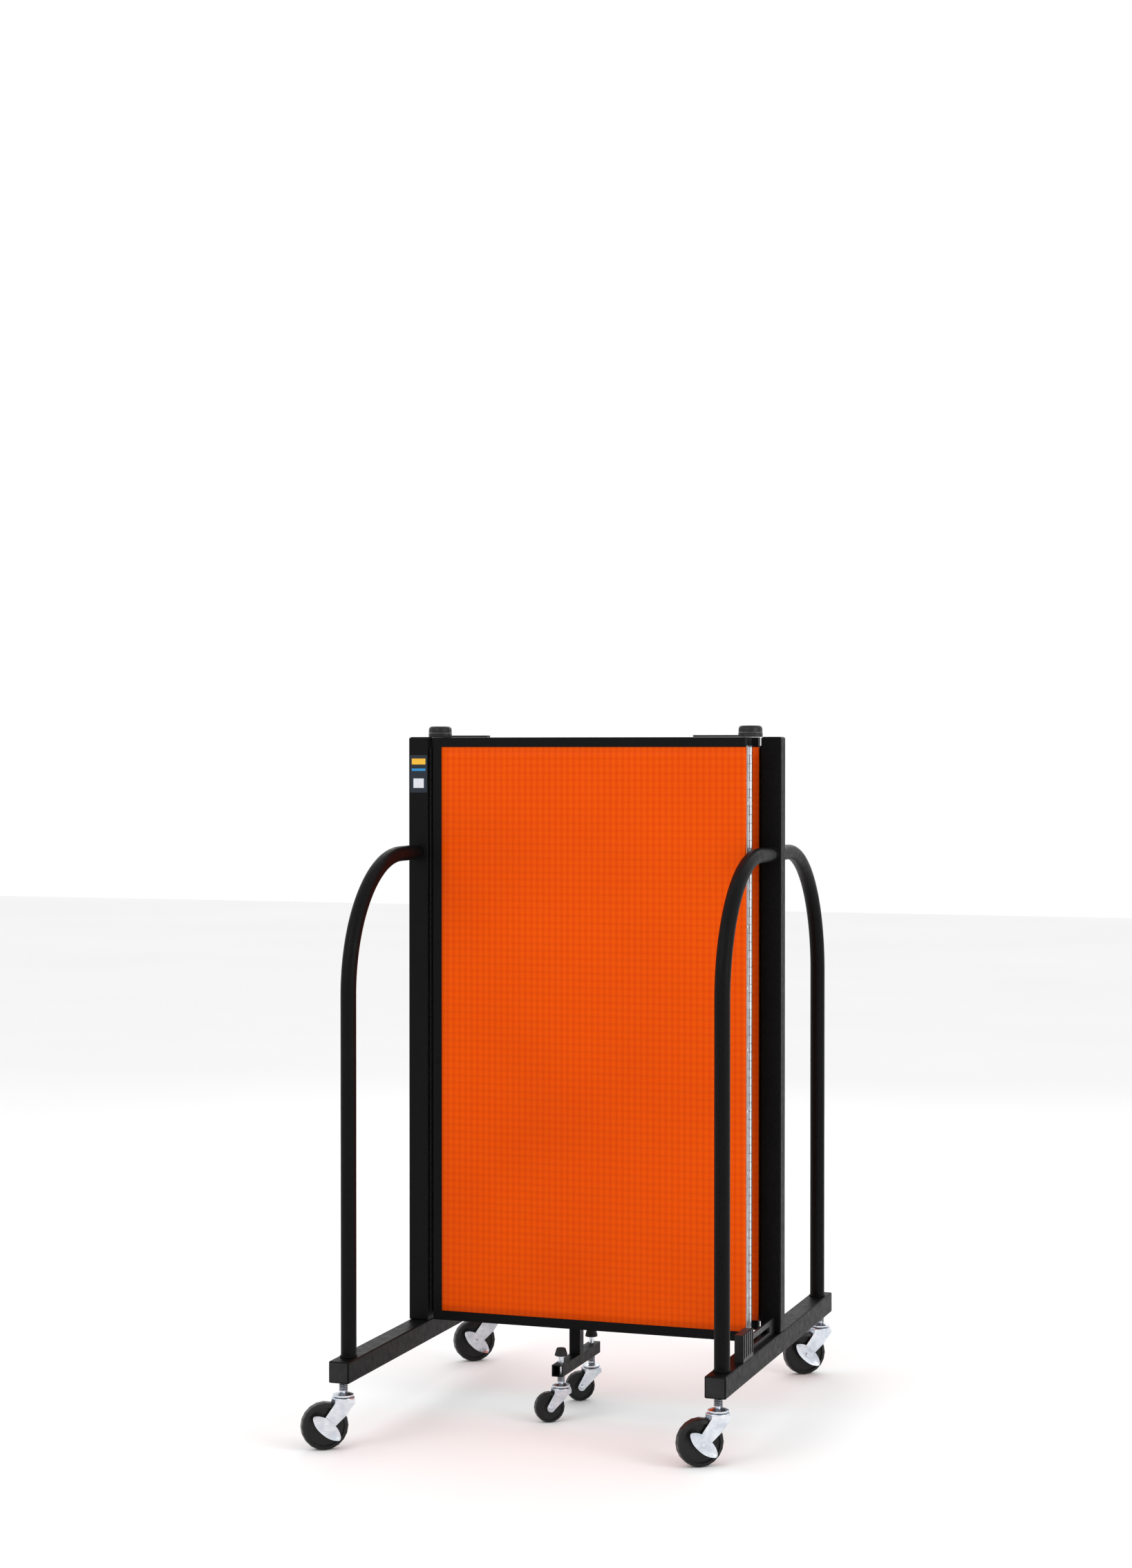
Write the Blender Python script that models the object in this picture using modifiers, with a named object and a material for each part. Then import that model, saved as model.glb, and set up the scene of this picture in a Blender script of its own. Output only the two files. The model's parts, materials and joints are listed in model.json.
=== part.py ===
"""A folding welding screen on casters: three curtained panels hinged between two rolling end frames.

World axes: +X runs along the folded panels from the left end frame to the right one, +Y from the front
ends of the feet to their rear ends, +Z up. The floor is z = 0. Lengths are in metres.
The panels are folded: panel 1 stands square to the left foot, panel 2 lies behind it and panel 3 behind that.
"""

import math

import bmesh
import bpy
from mathutils import Matrix, Vector

# Gap left between pieces that touch.
GAP = 0.0003

# Folded pose and the place of the floor's middle under the screen, seen from the left hinge pin.
PANEL_PITCH = 0.5588
FOLD_ANGLE = math.radians(5.0)
MIDDLE_X, MIDDLE_Y = 0.2580, 0.0447

# End frames.
FOOT = 0.035
FOOT_LENGTH = 0.711
FOOT_BOTTOM = 0.107
FOOT_TOP = FOOT_BOTTOM + FOOT
FOOT_WALL = 0.0016
POST_DEPTH = 0.030
POST_TOP = 1.140
POST_WALL = 0.0016
BOW_RADIUS = 0.0127
BOW_WALL = 0.0016
BOW_HEIGHT = 0.945
BOW_BEND = 0.220
BOW_INSET = 0.040
BOW_BEND_STEPS = 9

# Panels.
PANEL_BOTTOM = 0.144
PANEL_TOP = 1.140
RAIL = 0.019
SHEET = 0.0010
SHEET_EDGE = 0.0165
PANEL_DEPTH = RAIL + 2 * (GAP + SHEET)
FOLD_GAP = 0.0012
PANEL_END = 0.0037

# Continuous hinges.
PIN_RADIUS = 0.0010
BARREL_RADIUS = 0.0020
LEAF = 0.0008
LEAF_WIDTH = 0.0150
KNUCKLES = 5
KNUCKLE_GAP = 0.0004
HINGE_INSET = 0.014

# Friction dampers on the folding hinges.
DAMPER_RADIUS = 0.0198
DAMPER_BASE = 0.0075
DAMPER_CAP = 0.0115
ARM_LENGTH = 0.093
ARM_WIDTH = 0.016
ARM_THICKNESS = 0.0032

# Casters.
STEM_RADIUS = 0.0045
TRAIL_ANGLE = math.radians(215.8)
END_CASTER = {
    "wheel": 0.0381, "width": 0.0215, "trail": 0.0310, "race": 0.0185, "plate": 0.0030,
    "axle": 0.0042, "spring": 0.0072, "wire": 0.0008, "turns": 4, "stop": FOOT_BOTTOM, "top": 0.128,
}
CENTRE_CASTER = {
    "wheel": 0.0254, "width": 0.0170, "trail": 0.0205, "race": 0.0165, "plate": 0.0025,
    "axle": 0.0034, "spring": 0.0063, "wire": 0.0007, "turns": 4, "stop": 0.078, "top": 0.109,
}
STEM_INSET = 0.0190
RACE_HEIGHT = 0.0080
BRAKE_TILT = math.radians(48)

# Centre support under panel 2.
SUPPORT_PLACE = 0.307
SUPPORT_TUBE = 0.019
CROSSBAR_LENGTH = 0.200
CROSSBAR_STEMS = 0.160
BUMPER_LIFT = 0.0120
BUMPER_HEIGHT = 0.0130

# Ribbed grip block and its arm on the right foot.
BLOCK_START = 0.105
BLOCK_LENGTH = 0.060
BLOCK_WIDTH = 0.0150
BLOCK_HEIGHT = 0.0440
BLOCK_RIBS = 5
BLOCK_ARM = 0.0040

PAINT_BLACK = ("black_powder_coat", (0.013, 0.013, 0.014), 0.42, 0.0)
PANEL_BLACK = ("black_panel_frame", (0.012, 0.012, 0.013), 0.45, 0.0)
SHEET_ORANGE = ("orange_vinyl", (0.90, 0.09, 0.0), 0.38, 0.0)
BARE_STEEL = ("bare_hinge_steel", (0.62, 0.63, 0.66), 0.28, 1.0)
ZINC = ("zinc_plate", (0.60, 0.65, 0.72), 0.26, 1.0)
WHEEL_BLACK = ("black_wheel", (0.016, 0.016, 0.017), 0.35, 0.0)
RUBBER = ("black_rubber", (0.018, 0.018, 0.018), 0.75, 0.0)
PLASTIC = ("black_plastic", (0.014, 0.014, 0.015), 0.48, 0.0)


def clear_scene():
    for item in list(bpy.data.objects):
        bpy.data.objects.remove(item, do_unlink=True)


def make_collection(name):
    collection = bpy.data.collections.new(name)
    bpy.context.scene.collection.children.link(collection)
    return collection


def make_material(finish):
    name, colour, roughness, metallic = finish
    found = bpy.data.materials.get(name)
    if found:
        return found
    made = bpy.data.materials.new(name)
    made.use_nodes = True
    shader = made.node_tree.nodes["Principled BSDF"]
    shader.inputs["Base Color"].default_value = (*colour, 1.0)
    shader.inputs["Roughness"].default_value = roughness
    shader.inputs["Metallic"].default_value = metallic
    return made


def place(name, data, finish, pivot, location=(0, 0, 0), rotation=(0, 0, 0)):
    """Adds an object to the screen's collection, under the empty that its body turns or slides on."""
    made = bpy.data.objects.new(name, data)
    PARTS.objects.link(made)
    made.parent = pivot
    made.location = location
    made.rotation_euler = rotation
    if data.materials:
        data.materials.clear()
    data.materials.append(make_material(finish))
    return made


def make_pivot(name, parent=None, location=(0, 0, 0), turn=0.0):
    empty = bpy.data.objects.new(name, None)
    PARTS.objects.link(empty)
    empty.parent = parent
    empty.location = location
    empty.rotation_euler = (0, 0, turn)
    return empty


def mesh_from(name, shape):
    mesh = bpy.data.meshes.new(name)
    shape.to_mesh(mesh)
    shape.free()
    return mesh


def add_box(shape, low, high):
    size = Vector(high) - Vector(low)
    middle = (Vector(high) + Vector(low)) / 2
    bmesh.ops.create_cube(shape, size=1.0, matrix=Matrix.Translation(middle) @ Matrix.Diagonal((*size, 1.0)))


def add_cylinder(shape, start, end, radius, sides=20, end_radius=None):
    """A cylinder or cone from start to end."""
    start, end = Vector(start), Vector(end)
    along = end - start
    turn = along.to_track_quat("Z", "Y").to_matrix().to_4x4()
    bmesh.ops.create_cone(
        shape, cap_ends=True, segments=sides, radius1=radius,
        radius2=radius if end_radius is None else end_radius, depth=along.length,
        matrix=Matrix.Translation((start + end) / 2) @ turn,
    )


def add_plate(shape, outline, start, end):
    """A flat plate whose outline is given in X and Z, from depth start to depth end."""
    face = shape.faces.new([shape.verts.new((x, start, z)) for x, z in outline])
    grown = bmesh.ops.extrude_face_region(shape, geom=[face])["geom"]
    moved = [item for item in grown if isinstance(item, bmesh.types.BMVert)]
    bmesh.ops.translate(shape, verts=moved, vec=(0, end - start, 0))
    bmesh.ops.recalc_face_normals(shape, faces=shape.faces)


def box_mesh(name, low, high):
    shape = bmesh.new()
    add_box(shape, low, high)
    return mesh_from(name, shape)


def bevel(target, width, segments=1, angle=40):
    modifier = target.modifiers.new("rounded_edges", "BEVEL")
    modifier.width = width
    modifier.segments = segments
    modifier.limit_method = "ANGLE"
    modifier.angle_limit = math.radians(angle)


def helper(name, build, pivot):
    """A hidden solid made by build(shape), in the same local space as the piece that it is joined to or cut from."""
    shape = bmesh.new()
    build(shape)
    made = bpy.data.objects.new(name, mesh_from(name, shape))
    CUTTERS.objects.link(made)
    made.parent = pivot
    made.hide_render = True
    made.display_type = "WIRE"
    return made


def combine(target, operation, tool):
    modifier = target.modifiers.new(operation.lower(), "BOOLEAN")
    modifier.operation = operation
    modifier.object = tool
    modifier.solver = "EXACT"


def join_solids(name, pieces, finish, pivot):
    """One solid from overlapping pieces, each a function that adds its shape to a bmesh."""
    shape = bmesh.new()
    pieces[0](shape)
    made = place(name, mesh_from(name, shape), finish, pivot)
    for index, piece in enumerate(pieces[1:]):
        combine(made, "UNION", helper(f"{name}_add_{index}", piece, pivot))
    return made


def outline_curve(name, loops, thickness):
    """A flat plate from closed loops of points; inner loops are holes."""
    curve = bpy.data.curves.new(name, "CURVE")
    curve.dimensions = "2D"
    curve.fill_mode = "BOTH"
    curve.extrude = thickness / 2
    for points in loops:
        spline = curve.splines.new("POLY")
        spline.points.add(len(points) - 1)
        for point, (x, y) in zip(spline.points, points):
            point.co = (x, y, 0, 1)
        spline.use_cyclic_u = True
    return curve


def rectangle(width, height):
    return [(-width / 2, -height / 2), (width / 2, -height / 2), (width / 2, height / 2), (-width / 2, height / 2)]


def square_tube(name, width, depth, wall, length, finish, pivot, location, rotation=(0, 0, 0)):
    """A hollow tube, open at both ends, along local Z about its middle."""
    loops = [rectangle(width, depth), rectangle(width - 2 * wall, depth - 2 * wall)]
    mesh = mesh_of_curve(name, outline_curve(name, loops, length))
    return place(name, mesh, finish, pivot, location, rotation)


def mesh_of_curve(name, curve):
    """The closed mesh of a curve's solid, ready for Booleans."""
    holder = bpy.data.objects.new(name, curve)
    CUTTERS.objects.link(holder)
    bpy.context.view_layer.update()
    graph = bpy.context.evaluated_depsgraph_get()
    mesh = bpy.data.meshes.new_from_object(holder.evaluated_get(graph))
    bpy.data.objects.remove(holder, do_unlink=True)
    shape = bmesh.new()
    shape.from_mesh(mesh)
    bmesh.ops.remove_doubles(shape, verts=shape.verts, dist=1e-6)
    bmesh.ops.recalc_face_normals(shape, faces=shape.faces)
    shape.to_mesh(mesh)
    shape.free()
    return mesh


def tube_mesh(name, points, radius, resolution):
    """A round bar along points, from a curve with a round bevel."""
    curve = bpy.data.curves.new(name, "CURVE")
    curve.dimensions = "3D"
    curve.bevel_depth = radius
    curve.bevel_resolution = resolution
    curve.use_fill_caps = True
    spline = curve.splines.new("POLY")
    spline.points.add(len(points) - 1)
    for point, place_at in zip(spline.points, points):
        point.co = (*place_at, 1)
    return mesh_of_curve(name, curve)


def turned(name, profile, finish, pivot, location=(0, 0, 0), rotation=(0, 0, 0), steps=24):
    """A solid of revolution about local Z. The profile is (radius, height) pairs from the top down its outer side."""
    shape = bmesh.new()
    closed = profile[0] == profile[-1]
    corners = [shape.verts.new((radius, 0, height)) for radius, height in profile[:-1 if closed else None]]
    corners += corners[:1] if closed else []
    for first, second in zip(corners, corners[1:]):
        shape.edges.new((first, second))
    made = place(name, mesh_from(name, shape), finish, pivot, location, rotation)
    screw = made.modifiers.new("turn", "SCREW")
    screw.steps = steps
    screw.render_steps = steps
    screw.use_merge_vertices = True
    screw.merge_threshold = 1e-5
    return made


def bow_points(side):
    """The bow's centre line in the frame's own Y and Z; side is -1 for the front bow and 1 for the rear one."""
    leg = FOOT_LENGTH / 2 - BOW_INSET
    points = [(0, side * leg, FOOT_TOP + GAP), (0, side * leg, BOW_HEIGHT - BOW_BEND)]
    for step in range(1, BOW_BEND_STEPS + 1):
        angle = math.radians(90) * step / BOW_BEND_STEPS
        across = leg - BOW_BEND * (1 - math.cos(angle))
        points.append((0, side * across, BOW_HEIGHT - BOW_BEND + BOW_BEND * math.sin(angle)))
    points.append((0, side * (POST_DEPTH / 2 + GAP), BOW_HEIGHT))
    return points


def lengthened(points, extra):
    """The same route, longer by extra at both ends."""
    points = [Vector(point) for point in points]
    points[0] += (points[0] - points[1]).normalized() * extra
    points[-1] += (points[-1] - points[-2]).normalized() * extra
    return points


def build_bow(name, pivot, side):
    points = bow_points(side)
    bow = place(name, tube_mesh(name, points, BOW_RADIUS, 3), PAINT_BLACK, pivot)
    inner = tube_mesh(f"{name}_bore", lengthened(points, 0.002), BOW_RADIUS - BOW_WALL, 1)
    bore = bpy.data.objects.new(f"{name}_bore", inner)
    CUTTERS.objects.link(bore)
    bore.parent = pivot
    bore.hide_render = True
    bore.display_type = "WIRE"
    combine(bow, "DIFFERENCE", bore)


def build_end_frame(side, pivot):
    """Foot, post and two bows of one end frame; the pivot is at the middle of the foot's plan, on the floor."""
    square_tube(f"{side}_foot", FOOT, FOOT, FOOT_WALL, FOOT_LENGTH, PAINT_BLACK, pivot,
                (0, 0, FOOT_BOTTOM + FOOT / 2), (math.radians(90), 0, 0))
    low = FOOT_TOP + GAP
    square_tube(f"{side}_post", FOOT, POST_DEPTH, POST_WALL, POST_TOP - low, PAINT_BLACK, pivot,
                (0, 0, (POST_TOP + low) / 2))
    build_bow(f"{side}_front_bow", pivot, -1)
    build_bow(f"{side}_rear_bow", pivot, 1)


def build_panel(number, pivot, side, wrapped_end):
    """A welded frame and its sheet, which wraps round the stile at wrapped_end (0 first pin, 1 last pin)."""
    middle_depth = side * (FOLD_GAP / 2 + PANEL_DEPTH / 2)
    length = PANEL_PITCH - 2 * PANEL_END
    height = PANEL_TOP - PANEL_BOTTOM
    loops = [rectangle(length, height), rectangle(length - 2 * RAIL, height - 2 * RAIL)]
    middle = (PANEL_PITCH / 2, middle_depth, (PANEL_TOP + PANEL_BOTTOM) / 2)
    place(f"panel_{number}_frame", outline_curve("frame_outline", loops, RAIL), PANEL_BLACK, pivot, middle,
          (math.radians(90), 0, 0))
    edge = 1 if wrapped_end else -1
    open_end = -edge * (length / 2 - SHEET_EDGE)
    closed_end = edge * (length / 2 + GAP)
    inner, outer = RAIL / 2 + GAP, RAIL / 2 + GAP + SHEET
    outline = [
        (open_end, outer), (open_end, inner), (closed_end, inner), (closed_end, -inner), (open_end, -inner),
        (open_end, -outer), (closed_end + edge * SHEET, -outer), (closed_end + edge * SHEET, outer),
    ]
    sheet_height = height - 2 * SHEET_EDGE
    place(f"panel_{number}_sheet", outline_curve("sheet_outline", [outline], sheet_height), SHEET_ORANGE, pivot,
          middle)


def knuckle_spans(first):
    """Heights of one leaf's knuckles: the odd ones, or the even ones between them."""
    low, high = PANEL_BOTTOM + HINGE_INSET, PANEL_TOP - HINGE_INSET
    step = (high - low) / KNUCKLES
    for index in range(0 if first else 1, KNUCKLES, 2):
        yield low + index * step + KNUCKLE_GAP / 2, low + (index + 1) * step - KNUCKLE_GAP / 2


def build_leaf(name, pivot, first, reach, finish, low, high):
    """A hinge leaf on the pin at the pivot's axis: a plate low..high, tongues that reach its knuckles, and,
    on the first leaf, the pin."""

    def plate(shape):
        add_box(shape, low, high)

    pieces = [plate]
    for bottom, top in knuckle_spans(first):
        def knuckle(shape, bottom=bottom, top=top):
            add_cylinder(shape, (0, 0, bottom), (0, 0, top), BARREL_RADIUS, 12)

        def tongue(shape, bottom=bottom, top=top):
            add_box(shape, (*reach[0], bottom), (*reach[1], top))

        pieces += [tongue, knuckle]
    leaf = join_solids(name, pieces, finish, pivot)
    if first:
        ends = (PANEL_BOTTOM + HINGE_INSET - 0.001, PANEL_TOP - HINGE_INSET + 0.001)
        combine(leaf, "UNION", helper(
            f"{name}_pin", lambda shape: add_cylinder(shape, (0, 0, ends[0]), (0, 0, ends[1]), PIN_RADIUS, 8), pivot))
    else:
        for index, (bottom, top) in enumerate(knuckle_spans(False)):
            combine(leaf, "DIFFERENCE", helper(
                f"{name}_bore_{index}",
                lambda shape, bottom=bottom, top=top: add_cylinder(
                    shape, (0, 0, bottom - 0.002), (0, 0, top + 0.002), PIN_RADIUS + GAP, 8), pivot))


def build_edge_leaf(name, pivot, first, along, across, finish):
    """A leaf flat on an end face that lies PANEL_END from the pin; along is the face's side of the pin (-1 or 1)
    and across the side that the plate runs to."""
    low_z, high_z = PANEL_BOTTOM + HINGE_INSET, PANEL_TOP - HINGE_INSET
    face = along * (PANEL_END - SHEET - 2 * GAP - GAP / 2)
    back = face - along * LEAF
    xs = sorted((face, back))
    ys = sorted((across * (BARREL_RADIUS + KNUCKLE_GAP), across * (BARREL_RADIUS + LEAF_WIDTH)))
    reach_ys = sorted((0.0, across * (BARREL_RADIUS + 0.002)))
    build_leaf(name, pivot, first, ((xs[0], reach_ys[0]), (xs[1], reach_ys[1])), finish,
               (xs[0], ys[0], low_z), (xs[1], ys[1], high_z))


def build_damper(name, pivot, mate_pivot, arm):
    """A friction damper: its base and arm stay with one panel, its cap and arm with the other."""
    rail_top = PANEL_TOP + GAP
    seam = rail_top + DAMPER_BASE

    def add_arm(shape, direction, depth, low):
        ends = sorted((direction * 0.008, direction * ARM_LENGTH))
        add_box(shape, (ends[0], depth - ARM_WIDTH / 2, low), (ends[1], depth + ARM_WIDTH / 2, low + ARM_THICKNESS))

    def base(shape):
        add_cylinder(shape, (0, 0, rail_top), (0, 0, seam), DAMPER_RADIUS * 1.02, 18)

    base_part = join_solids(f"{name}_base", [base, lambda shape: add_arm(shape, *arm, rail_top)], PLASTIC, pivot)
    bevel(base_part, 0.0006)
    profile = [(0, seam + DAMPER_CAP), (DAMPER_RADIUS * 0.72, seam + DAMPER_CAP)]
    for step in range(1, 5):
        angle = math.radians(90) * step / 4
        profile.append((DAMPER_RADIUS * (0.72 + 0.28 * math.sin(angle)),
                        seam + DAMPER_CAP * (0.45 + 0.55 * math.cos(angle))))
    profile += [(DAMPER_RADIUS, seam + GAP), (0, seam + GAP)]
    turned(f"{name}_cap", profile, PLASTIC, mate_pivot, steps=18)


def build_caster(name, spec, stem_pivot, pivots, finish, braked, bumper):
    """One sprung swivel caster. Its local origin is on the stem's axis at floor height."""
    wheel, trail, race = spec["wheel"], spec["trail"], spec["race"]
    crown = 2 * wheel + 0.003
    race_top = crown + spec["plate"] + RACE_HEIGHT
    fork, wheel_pivot, brake_pivot = pivots
    upper = spec["top"]

    profile = [(0, upper), (STEM_RADIUS, upper), (STEM_RADIUS, race_top), (spec["race"] * 0.55, race_top - 0.001)]
    profile += [(race * 0.92, race_top - 0.0035), (race * 0.92, race_top - 0.0060), (0, race_top - 0.0060)]
    turned(f"{name}_stem", profile, ZINC, stem_pivot, steps=12)

    low, high = race_top + GAP, spec["stop"] - GAP
    wire, coil = spec["wire"], spec["spring"] - spec["wire"]
    count = spec["turns"] * 8
    points = []
    for step in range(count + 1):
        angle = 2 * math.pi * spec["turns"] * step / count
        rise = low + wire + (high - low - 2 * wire) * step / count
        points.append((coil * math.cos(angle), coil * math.sin(angle), rise))
    place(f"{name}_spring", tube_mesh(f"{name}_spring", points, wire, 1), ZINC, stem_pivot)

    half = spec["width"] / 2 + 0.0018
    wall = 0.0022
    reach = race * 0.86

    def crown_plate(shape):
        add_cylinder(shape, (0, 0, crown), (0, 0, crown + spec["plate"]), race, 16)

    def lower_race(shape):
        add_cylinder(shape, (0, 0, crown + spec["plate"] * 0.5), (0, 0, race_top - 0.0060 - GAP), race, 16,
                     race * 0.86)

    pieces = [crown_plate, lower_race]
    for side in (-1, 1):
        def cheek(shape, side=side):
            outline = [(-reach, crown + spec["plate"] * 0.6), (reach, crown + spec["plate"] * 0.6),
                       (trail + 0.0085, wheel + 0.004), (trail + 0.0065, wheel - 0.0075),
                       (trail - 0.0065, wheel - 0.0075), (-reach * 0.4, crown - 0.010)]
            add_plate(shape, outline, side * half, side * (half + wall))

        pieces.append(cheek)

    def axle(shape):
        add_cylinder(shape, (trail, -half - wall - 0.0025, wheel), (trail, half + wall + 0.0025, wheel),
                     spec["axle"], 12)

    pieces.append(axle)
    join_solids(f"{name}_fork", pieces, ZINC, fork)

    width, hub = spec["width"] / 2, wheel * 0.36
    bore = spec["axle"] + GAP
    outer = [(wheel * 0.82, width), (wheel * 0.96, width * 0.86), (wheel, width * 0.55)]
    profile = [(bore, width), (hub, width), (hub, width * 0.72), (wheel * 0.82, width * 0.72)] + outer
    profile += [(radius, -height) for radius, height in reversed(profile)] + [(bore, width)]
    turned(f"{name}_wheel", profile, finish, wheel_pivot, rotation=(math.radians(90), 0, 0), steps=20)

    if braked:
        face = half + wall + 0.0030
        span = wheel * 0.62

        def strap(shape):
            add_box(shape, (-0.0075, face, -span), (0.0075, face + 0.0016, span))

        lever = join_solids(f"{name}_brake", [
            strap,
            lambda shape: add_box(shape, (-0.0105, face - 0.0002, span * 0.55), (0.0105, face + 0.0026, span)),
            lambda shape: add_box(shape, (-0.0105, face - 0.0002, -span), (0.0105, face + 0.0026, -span * 0.55)),
            lambda shape: add_cylinder(shape, (0, face + 0.0004, 0), (0, face + 0.0045, 0), 0.0068, 6),
        ], ZINC, brake_pivot)
        bevel(lever, 0.0005)
    if bumper:
        turned(f"{name}_bumper", bumper, RUBBER, stem_pivot, steps=12)


def caster_at(name, spec, body_pivot, location, turn, finish, braked=False, bumper=None):
    """Pivots for a caster's sliding stem, swivelling fork, wheel and brake, then its pieces. The turn points
    the trail along TRAIL_ANGLE whatever way the body faces."""
    stem = make_pivot(f"{name}_stem_axis", body_pivot, location)
    fork = make_pivot(f"{name}_swivel_axis", stem, (0, 0, 0), turn)
    wheel = make_pivot(f"{name}_wheel_axis", fork, (spec["trail"], 0, spec["wheel"]))
    brake = make_pivot(f"{name}_brake_axis", fork, (spec["trail"], 0, spec["wheel"]))
    brake.rotation_euler = (0, BRAKE_TILT, 0)
    build_caster(name, spec, stem, (fork, wheel, brake), finish, braked, bumper)


def drill(target, name, pivot, places, low, high, radius):
    """Round holes along Z through a piece."""

    def holes(shape):
        for x, y in places:
            add_cylinder(shape, (x, y, low), (x, y, high), radius, 16)

    target_holes = helper(name, holes, pivot)
    combine(target, "DIFFERENCE", target_holes)


def build_frame_with_casters(side, pivot):
    build_end_frame(side, pivot)
    stem_y = FOOT_LENGTH / 2 - STEM_INSET
    foot = bpy.data.objects[f"{side}_foot"]
    drill(foot, f"{side}_stem_holes", pivot, [(0, -stem_y), (0, stem_y)], FOOT_BOTTOM - 0.005, FOOT_BOTTOM + 0.008,
          STEM_RADIUS + 0.0005)
    for end, y in (("front", -stem_y), ("rear", stem_y)):
        caster_at(f"{side}_{end}_caster", END_CASTER, pivot, (0, y, 0), TRAIL_ANGLE, WHEEL_BLACK, braked=True)


def build_centre_support(pivot):
    """Upright, crossbar and two sprung casters, which stay with panel 2."""
    depth = -(FOLD_GAP / 2 + PANEL_DEPTH / 2)
    bar_bottom = CENTRE_CASTER["stop"]
    bar_top = bar_bottom + SUPPORT_TUBE
    square_tube("support_upright", SUPPORT_TUBE, SUPPORT_TUBE, 0.0015, PANEL_BOTTOM - bar_top - 2 * GAP, PAINT_BLACK,
                pivot, (SUPPORT_PLACE, depth, (PANEL_BOTTOM + bar_top) / 2))
    bar = square_tube("support_crossbar", SUPPORT_TUBE, SUPPORT_TUBE, 0.0015, CROSSBAR_LENGTH, PAINT_BLACK, pivot,
                      (SUPPORT_PLACE, depth, bar_bottom + SUPPORT_TUBE / 2), (math.radians(90), 0, 0))
    stems = [(SUPPORT_PLACE, depth - CROSSBAR_STEMS / 2), (SUPPORT_PLACE, depth + CROSSBAR_STEMS / 2)]
    drill(bar, "crossbar_stem_holes", pivot, stems, bar_bottom - 0.005, bar_top + 0.005, STEM_RADIUS + 0.0005)
    base = bar_top + BUMPER_LIFT
    bumper = [(0, base + BUMPER_HEIGHT), (0.0070, base + BUMPER_HEIGHT), (0.0082, base + BUMPER_HEIGHT - 0.0015),
              (0.0108, base + 0.0030), (0.0108, base + 0.0008), (0.0100, base + GAP), (0, base + GAP)]
    # Panel 2 faces the other way, so its casters' trail is turned half round.
    for end, place_at in (("rear", stems[0]), ("front", stems[1])):
        caster_at(f"centre_{end}_caster", CENTRE_CASTER, pivot, (*place_at, 0), TRAIL_ANGLE - math.pi, WHEEL_BLACK,
                  bumper=bumper)


def build_grip(pivot):
    """Ribbed grip block on the right foot and the slotted arm between it and the post."""
    right = FOOT / 2
    start = -FOOT_LENGTH / 2 + BLOCK_START
    base = FOOT_TOP + GAP
    block = place("grip_block", box_mesh("grip_block", (right - BLOCK_WIDTH, start, base),
                                         (right, start + BLOCK_LENGTH, base + BLOCK_HEIGHT)), PLASTIC, pivot)

    def slots(shape):
        step = BLOCK_LENGTH / BLOCK_RIBS
        for index in range(BLOCK_RIBS):
            middle = start + (index + 0.5) * step
            add_box(shape, (right - 0.0035, middle - 0.0030, base + 0.006),
                    (right + 0.002, middle + 0.0030, base + BLOCK_HEIGHT + 0.002))

    combine(block, "DIFFERENCE", helper("grip_slots", slots, pivot))
    arm_start, arm_end = start + BLOCK_LENGTH + GAP, -POST_DEPTH / 2 - GAP
    arm = place("grip_arm", box_mesh("grip_arm", (right - BLOCK_WIDTH, arm_start, base),
                                     (right - BLOCK_WIDTH + BLOCK_ARM, arm_end, base + 0.026)), PLASTIC, pivot)
    combine(arm, "DIFFERENCE", helper("grip_arm_slot", lambda shape: add_box(
        shape, (right - BLOCK_WIDTH - 0.002, arm_start + 0.010, base + 0.007),
        (right - BLOCK_WIDTH + BLOCK_ARM + 0.002, arm_end - 0.030, base + 0.017)), pivot))


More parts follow.
